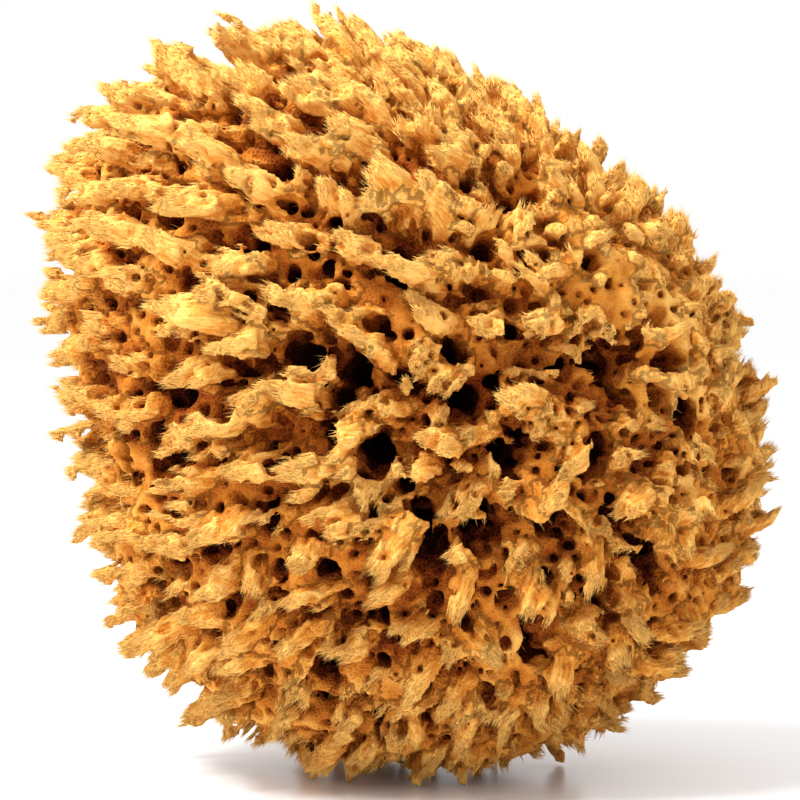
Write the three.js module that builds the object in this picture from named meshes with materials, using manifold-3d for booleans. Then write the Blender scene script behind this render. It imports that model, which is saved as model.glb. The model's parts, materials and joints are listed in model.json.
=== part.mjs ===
// A natural bath sponge, cleaned and dried: one grown piece of springy fibre, about a hand's span across.
// It stands on its lower rim, where its own weight has pressed the fronds flat, and its domed growth face looks
// along -Y. The back, where it was cut from the sea bed, is flatter. Lobes of fronds cover the whole surface, and
// the mouths of its main water canals (the oscula) sink between them.
// Millimetres, +Z up. The origin is at the middle of the footprint, on the surface that the sponge stands on.
import * as THREE from "three";
import { ImprovedNoise } from "three/addons/math/ImprovedNoise.js";
import { mergeVertices } from "three/addons/utils/BufferGeometryUtils.js";
import Module from "manifold-3d";

// Driving dimensions
const FRONT_DEPTH = 62; // from the heart of the sponge to the crown of its growth face
const BACK_DEPTH = 46; // from the heart to the cut back
const HEART_HEIGHT = 79; // the heart above the surface that the sponge stands on
const FULLNESS = 2.35; // 2 is an ellipsoid, and more makes the rim blunter
const DETAIL = 19; // subdivisions of the icosahedron

// Reach of the frond tips from the heart, seen from the front, at equal turns anticlockwise from +X.
const REACH = [80, 75, 69, 70, 77, 86, 91, 85, 76, 74, 79, 81, 83, 85, 86, 85];

// Lobes: groups of fronds, with grooves between them.
const LOBES = 250;
const LOBE_SPACING = 17;
const GROOVE_DEPTH = 6.5;
const LOBE_JITTER = 0.35; // share of the spacing that a lobe strays from the even spiral
const GOLDEN_TURN = Math.PI * (3 - Math.sqrt(5));

// Slow unevenness of the whole body.
const SWELL = 2.6;
const SWELL_SIZE = 34;

// Oscula: [right of the heart, above the heart, mouth radius, depth] on the growth face, then on the back.
const FRONT_OSCULA = [
  [3, 34, 5.0, 12],
  [-20, 12, 5.5, 13],
  [-6, -10, 5.5, 13],
  [16, -24, 6.0, 14],
  [49, 13, 5.5, 13],
  [29, -42, 5.5, 13],
  [51, -33, 5.0, 11],
  [-17, -53, 5.0, 10],
  [-30, -27, 4.5, 10],
  [28, 4, 4.5, 10],
];
const BACK_OSCULA = [
  [-34, 22, 5.5, 11],
  [6, 40, 5.0, 10],
  [2, -4, 6.0, 12],
  [36, 16, 5.0, 10],
  [-26, -30, 5.0, 10],
  [26, -34, 5.5, 11],
];

// The foot: the rim of fronds that the weight has pressed flat.
const FOOT_FADE = 16; // the lobes fade out over this height above the foot
const CUTTER = 400;

const noise = new ImprovedNoise();

// Smooth reach of the tips at any turn, wrapping round.
const turns = Float32Array.from({ length: REACH.length + 1 }, (_, i) => i);
const reaches = Float32Array.from({ length: REACH.length + 1 }, (_, i) => REACH[i % REACH.length]);
const outline = new THREE.CubicInterpolant(turns, reaches, 1, new Float32Array(1));
outline.settings = { endingStart: THREE.WrapAroundEnding, endingEnd: THREE.WrapAroundEnding };

function reachAt(angle) {
  const turn = THREE.MathUtils.euclideanModulo(angle / (2 * Math.PI), 1) * REACH.length;
  return outline.evaluate(turn)[0];
}

// Distance from the heart to the smooth envelope over the frond tips, along a unit direction.
function envelope(direction) {
  const across = Math.hypot(direction.x, direction.z);
  const reach = reachAt(Math.atan2(direction.z, direction.x));
  const depth = direction.y < 0 ? FRONT_DEPTH : BACK_DEPTH;
  const blunt = Math.pow(across / reach, FULLNESS) + Math.pow(Math.abs(direction.y) / depth, FULLNESS);
  return Math.pow(blunt, -1 / FULLNESS);
}

// Tips of the lobes on the envelope: an even spiral, pushed about by noise.
function lobeTips() {
  const tips = [];
  for (let i = 0; i < LOBES; i++) {
    const y = 1 - (2 * (i + 0.5)) / LOBES;
    const ring = Math.sqrt(1 - y * y);
    const turn = i * GOLDEN_TURN;
    const even = new THREE.Vector3(ring * Math.cos(turn), y, ring * Math.sin(turn));
    const tip = even.clone().multiplyScalar(envelope(even));
    const stray = new THREE.Vector3(
      noise.noise(i * 1.37, 0.5, 7.1),
      noise.noise(4.3, i * 1.37, 0.5),
      noise.noise(0.5, 9.7, i * 1.37),
    );
    tip.addScaledVector(stray, 2 * LOBE_JITTER * LOBE_SPACING);
    tips.push(tip);
  }
  return tips;
}

// A point on the growth face or the back, as seen square on.
function faceDirection(right, up, side) {
  const reach = reachAt(Math.atan2(up, right));
  const share = Math.min(Math.hypot(right, up) / reach, 0.98);
  const depth = side < 0 ? FRONT_DEPTH : BACK_DEPTH;
  const out = depth * Math.pow(1 - Math.pow(share, FULLNESS), 1 / FULLNESS);
  return new THREE.Vector3(right, side * out, up);
}

function mouths() {
  const front = FRONT_OSCULA.map(([x, z, radius, depth]) => ({ at: faceDirection(x, z, -1), radius, depth }));
  const back = BACK_OSCULA.map(([x, z, radius, depth]) => ({ at: faceDirection(x, z, 1), radius, depth }));
  return [...front, ...back];
}

const tips = lobeTips();
const oscula = mouths();

// The lobed surface along a unit direction.
function surface(direction) {
  const base = envelope(direction);
  const point = direction.clone().multiplyScalar(base);
  const nearest = Math.min(...tips.map((tip) => tip.distanceTo(point)));
  const groove = GROOVE_DEPTH * THREE.MathUtils.smoothstep(nearest, 0.2 * LOBE_SPACING, 0.75 * LOBE_SPACING);
  const swell = SWELL * noise.noise(point.x / SWELL_SIZE, point.y / SWELL_SIZE, point.z / SWELL_SIZE + 3);
  const sink = oscula.reduce((most, { at, radius, depth }) => {
    const off = at.distanceTo(point) / radius;
    return Math.max(most, depth * Math.exp(-0.5 * off * off));
  }, 0);
  const aboveFoot = THREE.MathUtils.smoothstep(point.z + HEART_HEIGHT, 0, FOOT_FADE);
  return base + swell * aboveFoot - Math.max(groove, sink) * aboveFoot;
}

function grownGeometry() {
  const ball = new THREE.IcosahedronGeometry(1, DETAIL);
  ball.deleteAttribute("normal");
  ball.deleteAttribute("uv");
  const geometry = mergeVertices(ball, 1e-5);
  const places = geometry.getAttribute("position");
  for (let i = 0; i < places.count; i++) {
    const direction = new THREE.Vector3().fromBufferAttribute(places, i).normalize();
    const point = direction.clone().multiplyScalar(surface(direction));
    places.setXYZ(i, point.x, point.y, point.z + HEART_HEIGHT);
  }
  return geometry;
}

// Closed solids, so that the foot can be cut flat.
const wasm = await Module();
wasm.setup();

function solidOf(geometry) {
  return new wasm.Manifold(
    new wasm.Mesh({
      numProp: 3,
      vertProperties: new Float32Array(geometry.getAttribute("position").array),
      triVerts: new Uint32Array(geometry.index.array),
    }),
  );
}

function geometryOf(solid) {
  const mesh = solid.getMesh();
  return new THREE.BufferGeometry()
    .setAttribute("position", new THREE.BufferAttribute(mesh.vertProperties, 3))
    .setIndex(new THREE.BufferAttribute(mesh.triVerts, 1));
}

function floorCutter() {
  const box = new THREE.BoxGeometry(CUTTER, CUTTER, CUTTER).translate(0, 0, -CUTTER / 2);
  box.deleteAttribute("normal");
  box.deleteAttribute("uv");
  return mergeVertices(box);
}

// The whole sponge, standing on its cut-flat foot with the footprint's box centred on the origin.
function spongeGeometry() {
  const standing = geometryOf(solidOf(grownGeometry()).subtract(solidOf(floorCutter())));
  standing.computeBoundingBox();
  const middle = standing.boundingBox.getCenter(new THREE.Vector3());
  standing.translate(-middle.x, -middle.y, -standing.boundingBox.min.z);
  return standing;
}

const spongin = new THREE.MeshStandardMaterial({
  name: "spongin",
  color: new THREE.Color(0.8, 0.47, 0.13),
  roughness: 0.95,
  metalness: 0,
});

const sponge = new THREE.Mesh(spongeGeometry(), spongin);
sponge.name = "sponge";

const part = new THREE.Group();
part.name = "sea_sponge";
part.add(sponge);

export default part;
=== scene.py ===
# %% [markdown]
# # A sea sponge
# A bath sponge is the cleaned, dried skeleton of an animal: one springy mass of brown fibre. Fronds stand
# all over it, combed the way that they grew, and frayed at their tips. Wide canals and thousands of small
# pores run in between them. This lesson grows that body on a grid of voxels, covers it with real strands of
# fibre, and gives it one honey-coloured finish.
#
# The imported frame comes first. It holds the plain solid that this sponge has to fit, in metres, with +Z up.

# %% Load the frame
import json
import math

import bmesh
import bpy
import numpy as np
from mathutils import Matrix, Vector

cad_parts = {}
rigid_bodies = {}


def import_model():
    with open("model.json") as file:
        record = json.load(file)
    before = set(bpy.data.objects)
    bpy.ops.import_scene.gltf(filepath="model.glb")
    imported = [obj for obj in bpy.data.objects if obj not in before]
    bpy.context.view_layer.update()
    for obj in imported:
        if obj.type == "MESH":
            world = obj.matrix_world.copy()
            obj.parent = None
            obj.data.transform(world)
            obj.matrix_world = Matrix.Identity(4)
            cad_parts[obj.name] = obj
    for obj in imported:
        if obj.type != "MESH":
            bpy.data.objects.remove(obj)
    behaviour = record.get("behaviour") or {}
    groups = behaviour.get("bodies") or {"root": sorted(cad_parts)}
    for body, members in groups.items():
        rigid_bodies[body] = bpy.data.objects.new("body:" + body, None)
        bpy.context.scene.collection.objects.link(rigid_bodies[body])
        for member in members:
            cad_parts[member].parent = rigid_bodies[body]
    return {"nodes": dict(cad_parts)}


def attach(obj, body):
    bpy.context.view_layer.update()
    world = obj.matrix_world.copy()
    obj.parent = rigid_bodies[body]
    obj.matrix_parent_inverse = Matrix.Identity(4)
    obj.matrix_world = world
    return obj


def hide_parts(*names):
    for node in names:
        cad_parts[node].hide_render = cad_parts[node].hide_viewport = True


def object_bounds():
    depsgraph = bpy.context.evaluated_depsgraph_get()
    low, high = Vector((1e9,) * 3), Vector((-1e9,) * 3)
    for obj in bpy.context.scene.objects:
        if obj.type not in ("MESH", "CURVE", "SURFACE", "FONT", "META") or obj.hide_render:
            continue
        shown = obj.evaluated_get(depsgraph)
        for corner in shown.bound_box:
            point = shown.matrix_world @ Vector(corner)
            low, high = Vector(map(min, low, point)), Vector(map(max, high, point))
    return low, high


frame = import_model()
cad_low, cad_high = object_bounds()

import openvdb
from mathutils import Vector
from mathutils.bvhtree import BVHTree

MM = 0.001
LOW = np.array(cad_low)
SIZE = np.array(cad_high) - LOW
print("CAD box in mm:", (SIZE / MM).round(1))

# %% [markdown]
# ## The envelope over the frond tips
# The sponge grew outwards from one place near its middle, so every point of its outer surface can be seen
# from there. A table of distances from that heart, one for each direction, holds the whole outer shape. It
# could be written as a formula, but the frame already has the shape, so rays from the heart measure it.
# Taking the furthest of the near distances and then their mean leaves the outline over the tips, without
# the grooves.

# %% Measure the reach in every direction
HEART = LOW + SIZE * np.array([0.5, 0.57, 0.5])
ROWS, TURNS = 90, 180  # from pole to pole, and round


def measured_reach(node):
    """Distance from the heart to the node's surface, for each row and turn of a globe of directions."""
    solid = bmesh.new()
    solid.from_mesh(frame["nodes"][node].data)
    bmesh.ops.remove_doubles(solid, verts=solid.verts, dist=1e-6)
    tree = BVHTree.FromBMesh(solid)
    table = np.zeros((ROWS + 1, TURNS))
    for i, rise in enumerate(np.linspace(-math.pi / 2, math.pi / 2, ROWS + 1)):
        for j, turn in enumerate(np.linspace(-math.pi, math.pi, TURNS, endpoint=False)):
            way = Vector((math.cos(rise) * math.cos(turn), math.cos(rise) * math.sin(turn), math.sin(rise)))
            table[i, j] = tree.ray_cast(Vector(HEART), way)[3]
    solid.free()
    return table


def over_neighbours(table, steps, how):
    """The table with each entry made from its neighbours, such as their largest or their mean."""
    padded = np.pad(table, ((steps, steps), (0, 0)), mode="edge")
    moved = [
        np.roll(padded[steps + i : steps + i + len(table)], j, axis=1)
        for i in range(-steps, steps + 1)
        for j in range(-steps, steps + 1)
    ]
    return how(moved, axis=0)


over_tips = over_neighbours(measured_reach("sponge"), 2, np.max)
REACH = over_neighbours(over_tips, 3, np.mean).astype(np.float32)
print("reach of the tips in mm:", (REACH.min() / MM).round(1), "to", (REACH.max() / MM).round(1))


# %% Look a direction up in the table
def envelope(x, y, z):
    """The reach along unit directions, between the table's rows and turns."""
    row = (np.arcsin(np.clip(z, -1, 1)) / np.pi + 0.5) * ROWS
    turn = (np.arctan2(y, x) / (2 * np.pi) + 0.5) * TURNS
    i = np.clip(row.astype(np.int32), 0, ROWS - 1)
    j = turn.astype(np.int32)
    up, on = (row - i).astype(np.float32), (turn - j).astype(np.float32)
    a, b = j % TURNS, (j + 1) % TURNS
    lower = REACH[i, a] * (1 - on) + REACH[i, b] * on
    upper = REACH[i + 1, a] * (1 - on) + REACH[i + 1, b] * on
    return lower * (1 - up) + upper * up


# %% Where the sponge is shaggy, and where its fronds are small
def shagginess(x, y, z):
    """1 on the upper left of the growth face, where fronds grow longest, to 0 on the compact lower right."""
    return np.clip(0.55 + 0.6 * (-0.75 * x - 0.35 * y + 0.35 * z), 0, 1)


def fineness(x, y, z):
    """1 over the upper right of the growth face, where the fronds are small and close, and 0 elsewhere."""
    return np.clip((0.62 * x - 0.35 * y + 0.7 * z - 0.70) / 0.16, 0, 1)


# %% [markdown]
# ## A grid to grow on
# Pores, webs and split fronds meet in ways that no single sheet of faces could follow, so the body is made
# on a grid. Each voxel holds its distance to the surface, less than zero inside. Adding a frond is then
# taking the lesser of two distances, and cutting a pore is taking the greater. A smooth lesser leaves a web
# where two meet, which is how real fronds join. The voxels are as large as the finest pores allow, which
# keeps the body to about a million and a quarter triangles.

# %% Lay out the grid
VOXEL = 0.8 * MM
MARGIN = 5 * MM
START = LOW - np.array([MARGIN, MARGIN, 2 * VOXEL])
COUNT = np.ceil((LOW + SIZE + MARGIN - START) / VOXEL).astype(int)
AXES = [(START[k] + VOXEL * np.arange(COUNT[k])).astype(np.float32) for k in range(3)]


def from_place(place, part=(slice(None),) * 3):
    """The x, y and z of the grid, or of a window of it, measured from a place."""
    x, y, z = (AXES[k][part[k]] - np.float32(place[k]) for k in range(3))
    return x[:, None, None], y[None, :, None], z[None, None, :]


def smooth_less(a, b, blend):
    """The lesser of two distances, with a fillet where they are nearly the same."""
    share = np.clip(0.5 + 0.5 * (b - a) / blend, 0, 1)
    return b + (a - b) * share - blend * share * (1 - share)


def smooth_more(a, b, blend):
    """The greater of two distances, rounded in the same way."""
    return -smooth_less(-a, -b, blend)


print("voxels:", COUNT, "in all", int(COUNT.prod()))


# %% Uneven growth
def unevenness(cell, seed, octaves=2):
    """Smooth noise between about -1 and 1 on the whole grid, with lumps of one cell's size."""
    total = np.zeros(COUNT, np.float32)
    for octave in range(octaves):
        pitch = cell / 2**octave
        weights = []
        for k in range(3):
            at = (AXES[k] - AXES[k][0]) / pitch
            i = at.astype(int)
            ease = (at - i) ** 2 * (3 - 2 * (at - i))
            weight = np.zeros((len(at), i[-1] + 2), np.float32)
            weight[np.arange(len(at)), i] = 1 - ease
            weight[np.arange(len(at)), i + 1] += ease
            weights.append(weight)
        knots = np.random.default_rng(seed + octave).uniform(-1, 1, [w.shape[1] for w in weights])
        rows = np.tensordot(weights[0], knots.astype(np.float32), (1, 0))
        rows = np.einsum("jb,ibc->ijc", weights[1], rows, optimize=True)
        total += (rows @ weights[2].T) / 2**octave
    return total


# %% [markdown]
# ## The web between the fronds
# Under the fronds lies a felted web that holds them together. It could be a ball of its own inside them,
# but then each frond would only be stuck into it. As a distance on the same grid, it lets every frond grow
# out of it. It starts well below the tips on the shaggy side, and nearer to them on the compact side, and
# it rises and falls all over.

# %% Fill the web
def web_depth(x, y, z, radius):
    """How far the web lies under the tips, in mm, at places measured from the heart."""
    way = x / radius, y / radius, z / radius
    shaggy = shagginess(*way)
    depth = 5.5 + 13.5 * shaggy - 7.5 * shaggy**2 - 4 * shaggy * np.clip(-1.5 * z / radius, 0, 1)
    return depth - 4 * fineness(*way)


x, y, z = from_place(HEART)
radius = np.maximum(np.sqrt(x * x + y * y + z * z), VOXEL)
below = radius - envelope(x / radius, y / radius, z / radius)
swell = unevenness(12 * MM, seed=3)
lumps = unevenness(5 * MM, seed=43, octaves=1)
rough = unevenness(2.4 * MM, seed=41, octaves=1)
field = below + web_depth(x, y, z, radius) * MM + 3.2 * MM * swell + 1.1 * MM * lumps + 0.5 * MM * rough
del radius, swell
print("web filled:", int((field < 0).sum()), "voxels")


# %% [markdown]
# ## Fronds
# A frond is a tongue of parallel fibre with a torn tip, 4 to 12 mm wide and 2 to 5 mm thick. One frond
# could be modelled and copied all over, but the copies would show, so each one is grown with its own size,
# waves and tears. The main fronds are tall, low ones fill in between them, and small ones stand close
# together where the sponge is fine or compact. Darts thrown at the envelope, each kept only if no other is
# too near, spread them evenly without a pattern.

# %% Throw darts
def stands_clear(place, spacing, cells):
    """Whether a place keeps its spacing from the earlier ones in the cells. If so, it joins them."""
    i, j, k = (place // spacing).astype(int)
    steps = (-1, 0, 1)
    around = [(i + a, j + b, k + c) for a in steps for b in steps for c in steps]
    if any(math.dist(other, place) < spacing for cell in around for other in cells.get(cell, ())):
        return False
    cells.setdefault((i, j, k), []).append(place)
    return True


def darts(throws, spacing, seed):
    """Unit directions from the heart whose places on the envelope keep their spacing."""
    ways = np.random.default_rng(seed).normal(size=(throws, 3))
    ways /= np.linalg.norm(ways, axis=1)[:, None]
    places = HEART + ways * envelope(*ways.T)[:, None]
    cells = {}
    kept = [n for n, place in enumerate(places) if stands_clear(place, spacing, cells)]
    return ways[kept], places[kept]


tall = darts(9000, 8.8 * MM, seed=5)
low = darts(16000, 8.8 * MM, seed=7)
small = darts(20000, 6 * MM, seed=9)
print("fronds:", len(tall[0]), "tall,", len(low[0]), "low and some of", len(small[0]), "small")


# %% Work on a small window of the grid
def window(*corners, room):
    """The slices of the grid that hold some points with room round them."""
    low = np.clip(((np.min(corners, axis=0) - room - START) / VOXEL).astype(int), 0, COUNT)
    high = np.clip(((np.max(corners, axis=0) + room - START) / VOXEL).astype(int) + 2, 0, COUNT)
    return tuple(slice(a, b) for a, b in zip(low, high))


def along(part, place, way):
    """How far each voxel of a window lies along a way from a place."""
    x, y, z = from_place(place, part)
    return x * np.float32(way[0]) + y * np.float32(way[1]) + z * np.float32(way[2])


# %% [markdown]
# ### Which way a frond runs
# The fronds point away from a place near the heart, and lean over to the left, as if a current had run over
# them. On the compact side they splay to all sides instead, droop a little, and follow the rim. Each one
# has a frame of three ways, along it, across it and through it, and a roll turns the last two.

# %% Set up a frond's frame
UP = np.array([0.0, 0.0, 1.0])
SOURCE = HEART + SIZE * np.array([0.10, 0.12, -0.03])  # the fronds point away from here
LEAN = np.array([-0.42, 0.0, -0.06])
chance = np.random.default_rng(11)


def heading(way, tip, shaggy, facing):
    """The way that a frond runs. Facing is 1 on the growth face and 0 at the rim and on the back."""
    grow = tip - SOURCE
    aside = np.cross(way, chance.normal(size=3))
    grow = grow / np.linalg.norm(grow) + LEAN * (0.35 + shaggy) + 0.2 * chance.normal(size=3)
    grow += (0.35 + 0.75 * facing) * (1 - shaggy) * aside / np.linalg.norm(aside)
    grow += (1 - facing) * 1.5 * np.clip((0.42 - shaggy) / 0.3, 0, 1) * np.array([-way[2], 0, way[0]])
    grow[2] -= 0.35 * facing * (1 - shaggy)
    return grow / np.linalg.norm(grow)


def frond_frame(way, tip, shaggy, sunk, length):
    """The base of a frond, its length, and the ways that it runs, spreads and faces."""
    facing = np.clip(-1.6 * way[1] - 0.3, 0, 1)
    grow = heading(way, tip, shaggy, facing)
    wide = np.cross(grow, UP)
    wide /= np.linalg.norm(wide)
    thin = np.cross(wide, grow)
    roll = chance.normal() * (0.95 - 0.5 * shaggy)
    turned = math.cos(roll) * wide + math.sin(roll) * thin
    thin = math.cos(roll) * thin - math.sin(roll) * wide
    sunk += 0.9 * MM * (1 - facing) * (1 - shaggy) * (way[0] > 0) * np.clip(1.4 - 2 * way[2], 0, 1)
    sunk += 4.5 * MM * math.exp(-((way[2] / 0.3) ** 2)) * (way[0] < -0.7)
    underneath, on_top = max(-way[2] - 0.5, 0), max(way[2], 0)
    tip = tip - way * (sunk + 1.5 * MM * underneath - 2.2 * MM * shaggy * on_top)
    return tip - grow * length, length, grow, turned, thin


# %% [markdown]
# ### The shape of a frond
# A frond is an ellipse swept along its run. It sways and droops towards its tip, and its root dips towards
# the heart, so that it grows out of the web. Waves across it make bundles of fibre, and other waves tear
# its tip. Where it is the nearest surface, it owns the voxel, so that the finish can follow its run.

# %% Grow one frond
ROOT, DIP = 4 * MM, 7 * MM  # how far it runs on below its base, and how far its root dips
SWAY, DROOP = 2.2, 1.4  # mm, at the tip
owner = np.full(COUNT, -1, np.int16)
fronds = []


def grow_frond(base, length, grow, wide, thin, half_width, half_thick, fan, web_blend=1.5 * MM):
    """Adds the last frond of the list to the field. A fan over 0 makes it wider towards its tip."""
    sway, lift = chance.normal(size=2) * SWAY * MM - np.array([0, DROOP * MM])
    phase = chance.uniform(0, 2 * math.pi, 4)
    turns = 2 * math.pi / (chance.uniform([1.8, 2.8, 2.2, 3.6], [2.6, 4.2, 3.2, 5.6]) * MM)
    dip = DIP * (HEART - base) / np.linalg.norm(HEART - base)
    around = 1.3 * half_width + abs(sway) + abs(lift) + 3 * MM
    part = window(base - ROOT * grow, base + dip - ROOT * grow, base + length * grow, room=around)

    a = along(part, base, grow)
    t = np.clip(a / length, 0, 1.1)
    rooted = np.clip(1 - 1.4 * t, 0, 1) ** 2
    b = along(part, base, wide) - np.float32(sway) * t * t - np.float32(dip @ wide) * rooted
    c = along(part, base, thin) - np.float32(lift) * t * t - np.float32(dip @ thin) * rooted

    waves = np.sin(b * turns[0] + phase[0] + 3 * t) + np.sin(b * turns[1] + phase[3] - 2 * t)
    bundles = waves + 2 * rough[part]
    spread = np.float32(half_width) * (1 + np.float32(fan) * (t - 0.5)) * (1 + 0.3 * lumps[part])
    thick = np.float32(half_thick) * (1.6 - 0.8 * t) * (1 + 0.14 * bundles)
    side = (np.sqrt((b / spread) ** 2 + (c / thick) ** 2) - 1) * thick
    side += 0.5 * MM * rough[part] * (0.3 + t)

    teeth = np.sin(b * turns[2] + phase[1]) * np.cos(b * turns[3] + phase[2]) + 1.1 * rough[part]
    torn = np.float32(length) * (1 - 0.17 * (1 + teeth) - 0.09 * (b / spread) ** 2)
    frond = smooth_more(side, a - torn, 0.6 * half_thick)
    frond = np.maximum(frond, -a - ROOT)
    owner[part][frond < field[part]] = len(fronds) - 1
    field[part] = smooth_less(field[part], frond, web_blend)


# %% Plant the three kinds of frond
def plant_tall(way, tip):
    """A main frond: long and thick on the shaggy side, tapered and well webbed on the compact side."""
    shaggy, fine = float(shagginess(*way)), float(fineness(*way))
    sunk = chance.uniform(-1.2, 2.4) + 1.2 * (shaggy < 0.3)
    length = 12 + 9 * shaggy + chance.uniform(-2, 4)
    fronds.append(frond_frame(way, tip, shaggy, sunk * MM, length * MM * (1 - 0.3 * fine)))
    half_width = (chance.uniform(2.6, 5.0) + 1.0 * shaggy) * (1 - 0.4 * fine)
    half_thick = (chance.uniform(1.2, 1.8) + 1.0 * shaggy) * (1 - 0.3 * fine)
    fan = chance.uniform(-0.4, 0.3) - 0.5 * (1 - shaggy)
    grow_frond(*fronds[-1], half_width * MM, half_thick * MM, fan, (1.5 + 2 * (1 - shaggy)) * MM)


def plant_low(way, tip):
    """A short frond that stands between the main ones and stays below their tips."""
    shaggy = float(shagginess(*way))
    sunk = chance.uniform(2.5, 4 + 4 * shaggy)
    length = 9 + 4 * shaggy + chance.uniform(-2, 3)
    fronds.append(frond_frame(way, tip, shaggy, sunk * MM, length * MM))
    half_width, half_thick = chance.uniform(1.6, 3.4), chance.uniform(1.0, 1.5)
    grow_frond(*fronds[-1], half_width * MM, half_thick * MM, fan=-0.4)


def plant_small(way, tip):
    """A small pointed frond."""
    sunk, length = chance.uniform(-0.8, 2.5), chance.uniform(9, 13)
    fronds.append(frond_frame(way, tip, 0.5, sunk * MM, length * MM))
    half_width, half_thick = chance.uniform(1.5, 3.0), chance.uniform(0.8, 1.3)
    grow_frond(*fronds[-1], half_width * MM, half_thick * MM, fan=-0.7)


for way, tip in zip(*tall):
    plant_tall(way, tip)
for way, tip in zip(*low):
    plant_low(way, tip)
for way, tip in zip(*small):
    if fineness(*way) > 0.4 or (shagginess(*way) < 0.42 and chance.random() < 0.3):
        plant_small(way, tip)
print("fronds grown:", len(fronds), "solid share", round(float((field < 0).mean()), 3))


# %% [markdown]
# ## Canals and pores
# Water left the living sponge through a few wide canals, and came in by thousands of fine pores. Boolean
# cutters would be slow in such numbers, but on the grid each hole is only one more distance. The widest
# canal mouths are listed, the middling pits fall between the fronds, and the pores are darts again,
# thrown at the surface that now exists.

# %% Bore a tapered hole
def bore(place, way, depth, mouth, end, blend):
    """Cuts a hole with one radius at its mouth and another at its end, rounded into what it meets."""
    part = window(place, place + way * depth, room=max(mouth, end) + 2 * blend)
    a = np.clip(along(part, place, way), 0, depth)
    x, y, z = from_place(place, part)
    off = (x - a * way[0]) ** 2 + (y - a * way[1]) ** 2 + (z - a * way[2]) ** 2
    hole = np.sqrt(off) - (mouth + (end - mouth) * a / depth) * (1 + 0.3 * rough[part])
    field[part] = smooth_more(field[part], -hole, blend)


# %% Pits between the fronds
PIT_SUNK = 4  # mm under the tips
NARROWEST = 2.6 * MM
LONGEST = 24 * MM  # no frond is longer than about this
frond_bases, frond_lengths, frond_runs, frond_wides, _ = (np.array(column) for column in zip(*fronds))


def clearance(place):
    """How far a place is from the nearest frond's middle line."""
    off = place - frond_bases
    run = np.clip((off * frond_runs).sum(1), 0, LONGEST)
    return np.linalg.norm(off - run[:, None] * frond_runs, axis=1).min()


pits = 0
for way, place in zip(*darts(12000, 6.5 * MM, seed=17)):
    mouth = place - way * PIT_SUNK * MM
    room = clearance(mouth)
    if room < NARROWEST:
        continue
    slant = -way + 0.3 * chance.normal(size=3)
    wide = min(0.85 * room, chance.uniform(1.4, 3.8) * MM)
    bore(mouth, slant / np.linalg.norm(slant), chance.uniform(10, 20) * MM, wide, 0.6 * wide, 0.9 * MM)
    pits += 1
print("pits:", pits)

# %% Canal mouths
CANAL_DEPTH = 30 * MM
# Places on the growth face as shares of its width and height, and the mouth's radius in mm.
CANALS = [
    (0.503, 0.713, 4.8),
    (0.350, 0.585, 4.6),
    (0.430, 0.565, 4.4),
    (0.463, 0.432, 4.4),
    (0.403, 0.465, 3.2),
    (0.270, 0.510, 3.6),
    (0.603, 0.519, 4.0),
    (0.796, 0.572, 6.0),
    (0.916, 0.465, 3.6),
    (0.763, 0.425, 4.6),
    (0.803, 0.345, 4.4),
    (0.843, 0.285, 5.4),
    (0.710, 0.338, 4.6),
    (0.610, 0.328, 5.4),
    (0.550, 0.298, 4.0),
    (0.690, 0.198, 4.8),
    (0.390, 0.118, 4.0),
    (0.310, 0.340, 3.4),
    (0.655, 0.430, 4.2),
    (0.170, 0.420, 3.2),
]


def on_growth_face(right, up):
    """The place on the envelope seen square on at these shares of the width and height."""
    depths = np.linspace(0, 0.6, 241)
    line = HEART + SIZE * np.array([right - 0.5, 0, up - 0.5]) - np.outer(depths, [0, SIZE[1], 0])
    off = line - HEART
    far = np.linalg.norm(off, axis=1)
    inside = far < envelope(*(off / far[:, None]).T)
    return line[inside][-1]


for right, up, wide in CANALS:
    mouth = on_growth_face(right, up)
    inwards = (HEART - mouth) / np.linalg.norm(HEART - mouth)
    bore(mouth, inwards, CANAL_DEPTH, 0.95 * wide * MM, 0.6 * wide * MM, 1.2 * MM)
print("canals:", len(CANALS))

# %% Pores
PORE_SPACING, PORE_DEPTH = 2.6 * MM, 3.5 * MM
PORE_TRIES = 90000
PORE_RADII, PORE_SHARES = [0.55, 0.75, 0.95, 1.25, 1.6], [0.2, 0.3, 0.25, 0.17, 0.08]  # radii in mm
SHALLOWEST, DEEPEST = 2.4 * MM, 22 * MM

surface = np.argwhere((np.abs(field) < 0.5 * VOXEL) & (below < -SHALLOWEST) & (below > -DEEPEST))
surface = surface[chance.permutation(len(surface))[:PORE_TRIES]]
cells, pores = {}, 0
for spot in surface:
    place = START + VOXEL * spot
    if not stands_clear(place, PORE_SPACING, cells):
        continue
    inwards = SOURCE - place
    inwards = inwards / np.linalg.norm(inwards) + 0.35 * chance.normal(size=3)
    wide = chance.choice(PORE_RADII, p=PORE_SHARES) * MM
    wide *= min(1, 0.4 - below[tuple(spot)] / (14 * MM))  # the shallow ones are finer
    bore(place, inwards / np.linalg.norm(inwards), PORE_DEPTH, wide, 0.8 * wide, 0.3 * MM)
    pores += 1
print("pores:", pores)

# %% [markdown]
# ## From voxels to a mesh
# The felt is never smooth, so a little fine unevenness goes over everything. The foot is cut level where
# the sponge's weight presses it flat. OpenVDB, which Blender's own volume tools are built on, then wraps
# the zero distance in faces that all point to one side, and Geometry Nodes numbers the islands so that loose
# crumbs can be dropped.

# %% Roughen, and press the foot flat
FOOT_LIFT = 0.15 * MM
ROUGHNESS = 0.28 * MM
field += ROUGHNESS * unevenness(1.5 * MM, seed=29, octaves=1)
field = np.maximum(field, (LOW[2] + FOOT_LIFT - AXES[2])[None, None, :])
print("solid voxels:", int((field < 0).sum()))


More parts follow.
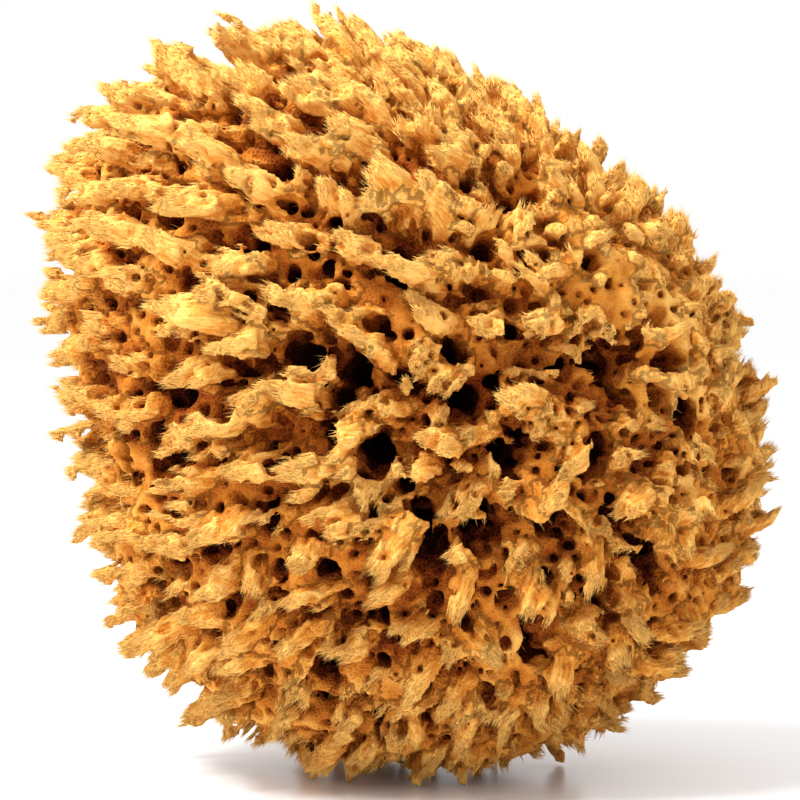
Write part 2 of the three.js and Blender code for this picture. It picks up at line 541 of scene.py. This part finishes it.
# %% Wrap the surface
def mesh_from_arrays(name, places, faces):
    """A smooth-shaded mesh of faces that all have the same number of corners."""
    mesh = bpy.data.meshes.new(name)
    mesh.vertices.add(len(places))
    mesh.vertices.foreach_set("co", places.astype(np.float32).ravel())
    mesh.loops.add(faces.size)
    mesh.loops.foreach_set("vertex_index", faces.astype(np.int32).ravel())
    mesh.polygons.add(len(faces))
    mesh.polygons.foreach_set("loop_start", np.arange(0, faces.size, faces.shape[1], dtype=np.int32))
    mesh.update(calc_edges=True)
    mesh.shade_smooth()
    return mesh


def wrapped(distances):
    """The points and the four-sided faces of the surface where the distance is zero."""
    grid = openvdb.FloatGrid(4 * VOXEL)
    grid.copyFromArray(distances)
    grid.transform = openvdb.createLinearTransform(VOXEL)
    places, faces = grid.convertToQuads(0.0)
    return places + START, faces[:, ::-1]


places, faces = wrapped(field)
print("wrapped:", len(places), "points,", len(faces), "faces")


# %% Keep the one piece
def add(tree, kind, feeds=(), **settings):
    """A new node with its settings, whose inputs are fed by other nodes' outputs or set to values."""
    made = tree.nodes.new(kind)
    for key, value in settings.items():
        setattr(made, key, value)
    for name, feed in dict(feeds).items():
        if isinstance(feed, bpy.types.NodeSocket):
            tree.links.new(feed, made.inputs[name])
        else:
            made.inputs[name].default_value = feed
    return made


def geometry_tree(name):
    """An empty Geometry Nodes tree, and the output that its geometry comes in by."""
    tree = bpy.data.node_groups.new(name, "GeometryNodeTree")
    tree.interface.new_socket("Geometry", in_out="INPUT", socket_type="NodeSocketGeometry")
    tree.interface.new_socket("Geometry", in_out="OUTPUT", socket_type="NodeSocketGeometry")
    return tree, add(tree, "NodeGroupInput").outputs[0]


def show(name, data):
    """A new object in the scene, of a mesh, a camera or a light."""
    made = bpy.data.objects.new(name, data)
    bpy.context.scene.collection.objects.link(made)
    return made


def island_numbers(mesh):
    """The number of the island that each vertex is on, by Geometry Nodes."""
    tree, start = geometry_tree("number_islands")
    island = add(tree, "GeometryNodeInputMeshIsland").outputs["Island Index"]
    numbered = add(tree, "GeometryNodeStoreNamedAttribute", data_type="INT", domain="POINT")
    for name, feed in {"Geometry": start, "Value": island}.items():
        tree.links.new(feed, numbered.inputs[name])
    numbered.inputs["Name"].default_value = "island"
    add(tree, "NodeGroupOutput", {0: numbered.outputs[0]})
    holder = show("island_finder", mesh)
    holder.modifiers.new("islands", "NODES").node_group = tree
    shown = holder.evaluated_get(bpy.context.evaluated_depsgraph_get()).data
    numbers = np.zeros(len(shown.vertices), np.int32)
    shown.attributes["island"].data.foreach_get("value", numbers)
    bpy.data.objects.remove(holder)
    return numbers


numbers = island_numbers(mesh_from_arrays("wrapped", places, faces))
whole = np.bincount(numbers).argmax()
kept = numbers == whole
faces = faces[kept[faces[:, 0]]]
fresh = np.cumsum(kept) - 1
places, faces = places[kept], fresh[faces]
print("islands:", numbers.max() + 1, "kept points:", len(places), "faces:", len(faces))

# %% [markdown]
# ## What each place on the surface knows
# The finish and the strands both need to know how deep a place lies, how shut in it is, and which way its
# fibre runs. Those are worked out once from the grid and kept on the mesh as attributes, so they stay with
# the surface wherever it is shown.


# %% Read the grid at the mesh's places
def read(grid, at):
    """The grid's values at places, between the voxels."""
    spot = np.clip((at - START) / VOXEL, 0, COUNT - 1.001)
    i = spot.astype(int)
    f = (spot - i).astype(np.float32)
    total = np.zeros(len(at), np.float32)
    for a in (0, 1):
        for b in (0, 1):
            for c in (0, 1):
                share = abs(1 - a - f[:, 0]) * abs(1 - b - f[:, 1]) * abs(1 - c - f[:, 2])
                total += share * grid[i[:, 0] + a, i[:, 1] + b, i[:, 2] + c]
    return total


def blurred(grid, reach):
    """Each voxel's mean over a box of this half size."""
    steps = max(int(reach / VOXEL), 1)
    for axis in range(3):
        room = [(steps + 1, steps) if k == axis else (0, 0) for k in range(3)]
        summed = np.cumsum(np.pad(grid, room, mode="edge"), axis=axis, dtype=np.float32)
        size = grid.shape[axis]
        take, drop = [slice(None)] * 3, [slice(None)] * 3
        take[axis], drop[axis] = slice(2 * steps + 1, 2 * steps + 1 + size), slice(0, size)
        grid = (summed[tuple(take)] - summed[tuple(drop)]) / (2 * steps + 1)
    return grid


solid = np.clip(0.5 - field / VOXEL, 0, 1)
crowd_near = read(blurred(solid, 1.8 * MM), places)
crowd_far = read(blurred(solid, 5 * MM), places)
depth = -read(below, places)
print("depth in mm:", np.percentile(depth / MM, [1, 25, 50, 75, 99]).round(1))
print("crowd far:", np.percentile(crowd_far, [1, 25, 50, 75, 99]).round(2))
print("crowd near:", np.percentile(crowd_near, [1, 25, 50, 75, 99]).round(2))

# %% Which way the fibre runs
PATTERN_STEP = 0.013  # metres between the patterns of two fronds, so that no two look the same
off = places - HEART
outwards = off / np.linalg.norm(off, axis=1)[:, None]
cell = np.clip(((places - START) / VOXEL).round().astype(int), 0, COUNT - 1)
mine = owner[cell[:, 0], cell[:, 1], cell[:, 2]]
owned = mine[:, None] >= 0
runs = np.where(owned, frond_runs[mine], outwards).astype(np.float32)
starts = np.where(owned, frond_bases[mine], HEART)
wides = np.where(owned, frond_wides[mine], np.cross(outwards, UP))
thins = np.cross(wides, runs)
comb = np.stack([((places - starts) * way).sum(1) for way in (runs, wides, thins)], axis=1)
comb[:, 1] += PATTERN_STEP * mine
print("on a frond:", round(float((mine >= 0).mean()), 2), "of the points")


# %% Painted shade and light, and how frayed each place is
def smoothstep(value, start, end):
    """0 up to the start and 1 from the end, with a soft rise in between."""
    t = np.clip((value - start) / (end - start), 0, 1)
    return t * t * (3 - 2 * t)


# One number for painted light and shade: 0 is painted light on the thin tips, 1 is deep painted shade.
thin_here = 1 - smoothstep(crowd_near, 0.26, 0.56)
at_tip = np.where(mine >= 0, smoothstep(comb[:, 0] / frond_lengths[mine], 0.5, 0.92), 0)
compact = 1 - shagginess(*outwards.T)
lower = smoothstep(-outwards[:, 2], -0.3, 0.7)
# A little darker on the compact side, and painted shade towards the foot, where less light falls.
painted_shade = 0.22 + 0.08 * compact + 0.09 * lower
# Painted shade deep down, and where the body is shut in from the light.
painted_shade += 0.50 * smoothstep(depth, 4 * MM, 20 * MM)
painted_shade += 0.22 * smoothstep(crowd_far, 0.4, 0.8)
# Painted light on thin places near the tips, which light reaches from all sides.
painted_shade -= thin_here * (0.12 + 0.14 * at_tip) * (1 - smoothstep(depth, 5 * MM, 18 * MM))
painted_shade = np.clip(painted_shade, 0, 1)

fray = 0.10 + 0.3 * thin_here * (1 - smoothstep(depth, 6 * MM, 20 * MM)) + 0.8 * thin_here * at_tip
fray *= smoothstep(places[:, 2], LOW[2] + 1.5 * MM, LOW[2] + 5 * MM)  # none under the foot
print("hollow:", np.percentile(painted_shade, [1, 25, 50, 75, 99]).round(2), "fray mean", fray.mean().round(3))


# %% Dress the mesh
def keep_on(mesh, name, kind, values):
    """Stores one value for each point of a mesh."""
    made = mesh.attributes.new(name, kind, "POINT")
    made.data.foreach_set("vector" if kind == "FLOAT_VECTOR" else "value", values.astype(np.float32).ravel())


body = show("sponge_body", mesh_from_arrays("sponge_body", places, faces))
keep_on(body.data, "painted_shade", "FLOAT", painted_shade)
keep_on(body.data, "fray", "FLOAT", fray)
keep_on(body.data, "grain", "FLOAT_VECTOR", runs)
keep_on(body.data, "comb", "FLOAT_VECTOR", comb)
print("sponge_body has", len(body.data.polygons), "faces")

# %% [markdown]
# ## Strands
# The fibre is spongin, in strands a fifth of a millimetre thick or less. On the surface they make a felt,
# and they fray out of the tips of the fronds, singly and in tufts. Hair curves would be quick to make, but
# only meshes are kept with the model, so short tapered spikes are set on the body by Geometry Nodes and
# made real.


# %% Kinds of strand
def spike(name, width, cuts=0, bend=0.0):
    """A closed three-sided spike, 1 mm tall, that stands near the origin and leans more as it rises."""
    strand, length = bmesh.new(), 1 * MM
    bmesh.ops.create_cone(strand, cap_ends=True, segments=3, radius1=width / 2, radius2=0, depth=length)
    bmesh.ops.translate(strand, verts=strand.verts, vec=(0, 0, 0.42 * length))
    for cut in range(cuts):
        height = length * ((cut + 1) / (cuts + 1) - 0.08)
        parts = strand.verts[:] + strand.edges[:] + strand.faces[:]
        bmesh.ops.bisect_plane(strand, geom=parts, plane_co=(0, 0, height), plane_no=(0, 0, 1))
    for vert in strand.verts:
        vert.co.x += bend * length * (max(vert.co.z, 0) / length) ** 2
    bmesh.ops.triangulate(strand, faces=strand.faces)
    mesh = bpy.data.meshes.new(name)
    strand.to_mesh(mesh)
    strand.free()
    mesh.shade_smooth()
    print(name, "has", len(mesh.polygons), "faces")
    return show(name, mesh)


fine_strand = spike("fine_strand", 0.12 * MM)
bent_strand = spike("bent_strand", 0.11 * MM, cuts=1, bend=0.3)
tuft = spike("tuft", 0.42 * MM)


# %% Set strands on the body
NORMAL_SHARE = 0.22  # how much a strand follows the body's normal, which still points inwards here


def random_value(tree, seed, low, high, kind="FLOAT"):
    """A random number or vector for each point, between two limits."""
    limits = {"Min": low, "Max": high, "Seed": seed}
    made = add(tree, "FunctionNodeRandomValue", limits, data_type=kind)
    return next(output for output in made.outputs if output.enabled)


def strand_tree(strand, density, power, seed, stray, shortest, longest):
    """Scatters copies of a strand where the body is frayed, along its grain, and makes them real."""
    tree, start = geometry_tree(f"strands_{seed}")

    def here(name, kind):
        named = add(tree, "GeometryNodeInputNamedAttribute", {"Name": name}, data_type=kind)
        return named.outputs["Attribute"]

    sharper = add(tree, "ShaderNodeMath", {0: here("fray", "FLOAT"), 1: power}, operation="POWER")
    often = add(tree, "ShaderNodeMath", {0: sharper.outputs[0], 1: density}, operation="MULTIPLY")
    where = {"Mesh": start, "Density": often.outputs[0], "Seed": seed}
    scatter = add(tree, "GeometryNodeDistributePointsOnFaces", where)
    lifted = {0: scatter.outputs["Normal"], "Scale": NORMAL_SHARE}
    out = add(tree, "ShaderNodeVectorMath", lifted, operation="SCALE")
    grain = here("grain", "FLOAT_VECTOR")
    combed = add(tree, "ShaderNodeVectorMath", {0: grain, 1: out.outputs[0]}, operation="ADD")
    off = random_value(tree, seed + 1, (-stray,) * 3, (stray,) * 3, "FLOAT_VECTOR")
    way = add(tree, "ShaderNodeVectorMath", {0: combed.outputs[0], 1: off}, operation="ADD")
    aimed = add(tree, "FunctionNodeAlignRotationToVector", {"Vector": way.outputs[0]}, axis="Z")
    spin = random_value(tree, seed + 2, (0, 0, 0), (0, 0, 2 * math.pi), "FLOAT_VECTOR")
    turn = {"Rotation": aimed.outputs[0], "Rotate By": spin}
    turned = add(tree, "FunctionNodeRotateRotation", turn, rotation_space="LOCAL")
    size = random_value(tree, seed + 3, shortest, longest)
    scale = add(tree, "ShaderNodeCombineXYZ", {"X": 1.0, "Y": 1.0, "Z": size})
    source = add(tree, "GeometryNodeObjectInfo", {"Object": strand})
    place = add(tree, "GeometryNodeInstanceOnPoints", {
        "Points": scatter.outputs["Points"],
        "Instance": source.outputs["Geometry"],
        "Rotation": turned.outputs[0],
        "Scale": scale.outputs[0],
    })
    real = add(tree, "GeometryNodeRealizeInstances", {0: place.outputs["Instances"]})
    add(tree, "NodeGroupOutput", {0: real.outputs[0]})
    return tree


def strands(name, *settings):
    """One layer of strands over the whole body, as a mesh of its own."""
    holder = show("holder", body.data)
    holder.modifiers.new("strands", "NODES").node_group = strand_tree(*settings)
    mesh = bpy.data.meshes.new_from_object(holder.evaluated_get(bpy.context.evaluated_depsgraph_get()))
    bpy.data.objects.remove(holder)
    mesh.name = name
    print(name, "has", len(mesh.polygons), "faces")
    return show(name, mesh)


# %% Lay the felt, the fringe and the tufts
PER_MM2 = 1e6  # a number on a square metre, for one on a square mm
# Each layer's strand, number on a square mm, sharpness, seed, stray, and shortest and longest, in mm.
LAYERS = [
    ("felt", fine_strand, 0.36 * PER_MM2, 0.5, 101, 0.7, 0.8, 1.8),
    ("fringe_1", fine_strand, 1.1 * PER_MM2, 3.0, 301, 0.24, 1.4, 3.4),
    ("fringe_2", fine_strand, 1.1 * PER_MM2, 3.0, 401, 0.24, 1.4, 3.4),
    ("fringe_3", fine_strand, 1.1 * PER_MM2, 3.0, 501, 0.24, 1.4, 3.4),
    ("fringe_4", bent_strand, 0.42 * PER_MM2, 3.0, 601, 0.3, 1.4, 3.2),
    ("tufts", tuft, 0.95 * PER_MM2, 3.0, 701, 0.24, 1.1, 2.6),
]
layers = [strands(*layer) for layer in LAYERS]
for made in (fine_strand, bent_strand, tuft):
    bpy.data.objects.remove(made)
print("strand triangles:", sum(len(layer.data.polygons) for layer in layers))

# %% [markdown]
# ### Faces that point outwards
# The grid's faces came with their fronts inside. Their direction could be put right as soon as they are made,
# but the strands are combed down against the surface by its inward normals, so the body is turned only once
# they lie on it. The volume that its faces enclose comes out above zero when their fronts are outside.


# %% Turn the body's faces outwards
def enclosed(mesh):
    """The volume inside the four-sided faces, less than zero when they point inwards."""
    corners = np.zeros(len(mesh.loops), np.int32)
    mesh.loops.foreach_get("vertex_index", corners)
    spots = np.zeros(3 * len(mesh.vertices), np.float32)
    mesh.vertices.foreach_get("co", spots)
    a, b, c, d = spots.reshape(-1, 3).astype(float)[corners.reshape(-1, 4)].transpose(1, 0, 2)
    return ((a * np.cross(b, c)).sum() + (a * np.cross(c, d)).sum()) / 6


body.data.flip_normals()
print("volume of the body in cubic cm:", round(enclosed(body.data) * 1e6))

# %% [markdown]
# ## The finish
# Spongin is a matt amber fibre, honey on the flanks. Light and shade are painted into its colour: the tips,
# which light reaches from all sides, get painted light as pale straw, and painted shade takes the canals
# down to a dark red brown. An image could hold those colours, but such a torn surface can't be unwrapped
# cleanly, so one ramp over the attribute of painted shade gives all of them. Streaks follow the comb of each
# frond, and a net of fine fibre shows in the hollows.

# %% Colours from the painted light on the tips to the painted shade in the hollows
def srgb(*colour):
    """A colour as a screen names it, from 0 to 255, in the linear numbers that a shader reads."""
    shares = [c / 255 for c in colour]
    return tuple(c / 12.92 if c < 0.04045 else ((c + 0.055) / 1.055) ** 2.4 for c in shares) + (1.0,)


# From painted light on the tips, through the honey of the flanks, to painted shade deep in the canals.
PAINTED_SHADE_COLOURS = [
    (0.00, srgb(238, 190, 104)),
    (0.20, srgb(212, 139, 50)),
    (0.45, srgb(178, 98, 28)),
    (0.68, srgb(134, 58, 16)),
    (0.86, srgb(92, 32, 9)),
    (1.00, srgb(46, 12, 6)),
]


def painted_shade_ramp(tree, amount):
    """The colour for an amount of painted shade."""
    ramp = add(tree, "ShaderNodeValToRGB", {"Fac": amount})
    ramp.color_ramp.interpolation = "B_SPLINE"
    stops = ramp.color_ramp.elements
    while len(stops) < len(PAINTED_SHADE_COLOURS):
        stops.new(0.5)
    for stop, (at, colour) in zip(stops, PAINTED_SHADE_COLOURS):
        stop.position, stop.color = at, colour
    return ramp.outputs["Color"]


def weighed(tree, value, weight, middle, base):
    """The base plus a weight times how far a value is from its middle."""
    scaled = add(tree, "ShaderNodeMath", {0: value, 1: weight, 2: -weight * middle}, operation="MULTIPLY_ADD")
    return add(tree, "ShaderNodeMath", {0: scaled.outputs[0], 1: base}, operation="ADD").outputs[0]


# %% Felt
STREAK_SCALE, NET_SCALE, PATCH_SCALE = 1500, 1100, 90  # repeats in a metre


def felt(tree, shader, place, painted_shade_here, tone):
    """Streaks along the fronds and a net in the hollows, as a change of tone and a small relief."""
    comb_here = add(tree, "ShaderNodeAttribute", attribute_name="comb").outputs["Vector"]
    drawn_out = add(tree, "ShaderNodeMapping", {"Vector": comb_here, "Scale": (0.14, 1, 1)}).outputs[0]
    fine = {"Vector": drawn_out, "Scale": STREAK_SCALE, "Detail": 2}
    streaks = add(tree, "ShaderNodeTexNoise", fine).outputs["Fac"]
    net = add(tree, "ShaderNodeTexVoronoi", {"Vector": place, "Scale": NET_SCALE}, feature="DISTANCE_TO_EDGE")
    nearness = {"Value": net.outputs["Distance"], "From Max": 0.3}
    threads = add(tree, "ShaderNodeMapRange", nearness).outputs[0]
    netted = add(tree, "ShaderNodeMath", {0: threads, 1: painted_shade_here}, operation="MULTIPLY").outputs[0]
    relief = add(tree, "ShaderNodeMath", {0: streaks, 1: netted}, operation="SUBTRACT").outputs[0]
    bump = add(tree, "ShaderNodeBump", {"Height": relief, "Strength": 1.0, "Distance": 0.4 * MM})
    tree.links.new(bump.outputs["Normal"], shader.inputs["Normal"])
    return weighed(tree, netted, 0.34, 0.2, weighed(tree, streaks, -0.7, 0.5, tone))


# %% Spongin
def spongin(name, paler_with_painted_glow=0.0, felted=True):
    """The finish of the body, or, with no felt and lighter by paler fibre and a painted glow, of the strands.
    """
    material = bpy.data.materials.new(name)
    material.use_nodes = True
    tree = material.node_tree
    shader = tree.nodes["Principled BSDF"]
    shader.inputs["Roughness"].default_value = 1.0
    shader.inputs["Specular IOR Level"].default_value = 0.1
    place = add(tree, "ShaderNodeTexCoord").outputs["Object"]
    patches = add(tree, "ShaderNodeTexNoise", {"Vector": place, "Scale": PATCH_SCALE, "Detail": 3})
    painted_shade_here = add(tree, "ShaderNodeAttribute", attribute_name="painted_shade").outputs["Fac"]
    tone = weighed(tree, patches.outputs["Fac"], 0.35, 0.5, painted_shade_here)
    tone = add(tree, "ShaderNodeMath", {0: tone, 1: paler_with_painted_glow}, operation="SUBTRACT").outputs[0]
    if felted:
        tone = felt(tree, shader, place, painted_shade_here, tone)
    tree.links.new(painted_shade_ramp(tree, tone), shader.inputs["Base Color"])
    return material


def finish(piece, material):
    """The piece with this one material."""
    piece.data.materials.clear()
    piece.data.materials.append(material)


finish(body, spongin("spongin_felt"))
# The strands are paler fibre, and lighter still as a painted glow of the light that passes through them.
strand_finish = spongin("spongin_strand", paler_with_painted_glow=0.14, felted=False)
for layer in layers:
    finish(layer, strand_finish)
print("materials:", body.data.materials[0].name, "and", strand_finish.name)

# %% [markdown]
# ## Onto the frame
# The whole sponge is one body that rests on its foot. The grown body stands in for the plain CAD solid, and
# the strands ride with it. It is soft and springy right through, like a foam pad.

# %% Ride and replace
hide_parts("sponge")
for piece in (body, *layers):
    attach(piece, "root")
print("pieces on the root body:", 1 + len(layers))

# %% [markdown]
# ## The studio
# A pale floor, a big soft light above and to the left, and a white room. The camera is nearly level and a
# good way off, so that the sponge keeps its shape.

# %% Camera
AIM = Vector((-0.0004, 0, 0.0795))
RISE, AWAY = math.radians(2.5), 0.632
LENS, SENSOR = 135, 36  # mm

camera = show("camera", bpy.data.cameras.new("camera"))
camera.data.lens, camera.data.sensor_width = LENS, SENSOR
camera.location = AIM + Vector((0, -AWAY * math.cos(RISE), AWAY * math.sin(RISE)))
camera.rotation_euler = (math.pi / 2 - RISE, 0, 0)
bpy.context.scene.camera = camera
print("camera at", [round(v, 3) for v in camera.location])


# %% Floor, room and light
def pale_floor(half_size):
    """A wide, faintly glossy white floor at the sponge's foot."""
    ground = bmesh.new()
    bmesh.ops.create_grid(ground, x_segments=1, y_segments=1, size=half_size)
    floor = show("floor", bpy.data.meshes.new("floor"))
    ground.to_mesh(floor.data)
    ground.free()
    pale = bpy.data.materials.new("pale_floor")
    pale.use_nodes = True
    shader = pale.node_tree.nodes["Principled BSDF"]
    shader.inputs["Base Color"].default_value = (0.96, 0.96, 0.96, 1)
    shader.inputs["Roughness"].default_value = 0.25
    floor.data.materials.append(pale)
    return floor


def white_room():
    """Even light from all sides, as in a light tent."""
    room = bpy.data.worlds.new("room")
    room.use_nodes = True
    background = room.node_tree.nodes["Background"]
    background.inputs["Color"].default_value = (1, 1, 1, 1)
    background.inputs["Strength"].default_value = 1.0
    return room


def soft_light(name, place, size, watts):
    """A square light that faces the sponge."""
    light = bpy.data.lights.new(name, "AREA")
    light.size, light.energy = size, watts
    lamp = show(name, light)
    lamp.location = place
    lamp.rotation_euler = (AIM - Vector(place)).to_track_quat("-Z", "Y").to_euler()


pale_floor(half_size=30)
bpy.context.scene.world = white_room()
soft_light("key", place=(-0.40, -0.24, 0.78), size=0.35, watts=13)
bpy.context.scene.view_settings.view_transform = "Standard"
print("lights:", [light.name for light in bpy.data.lights])
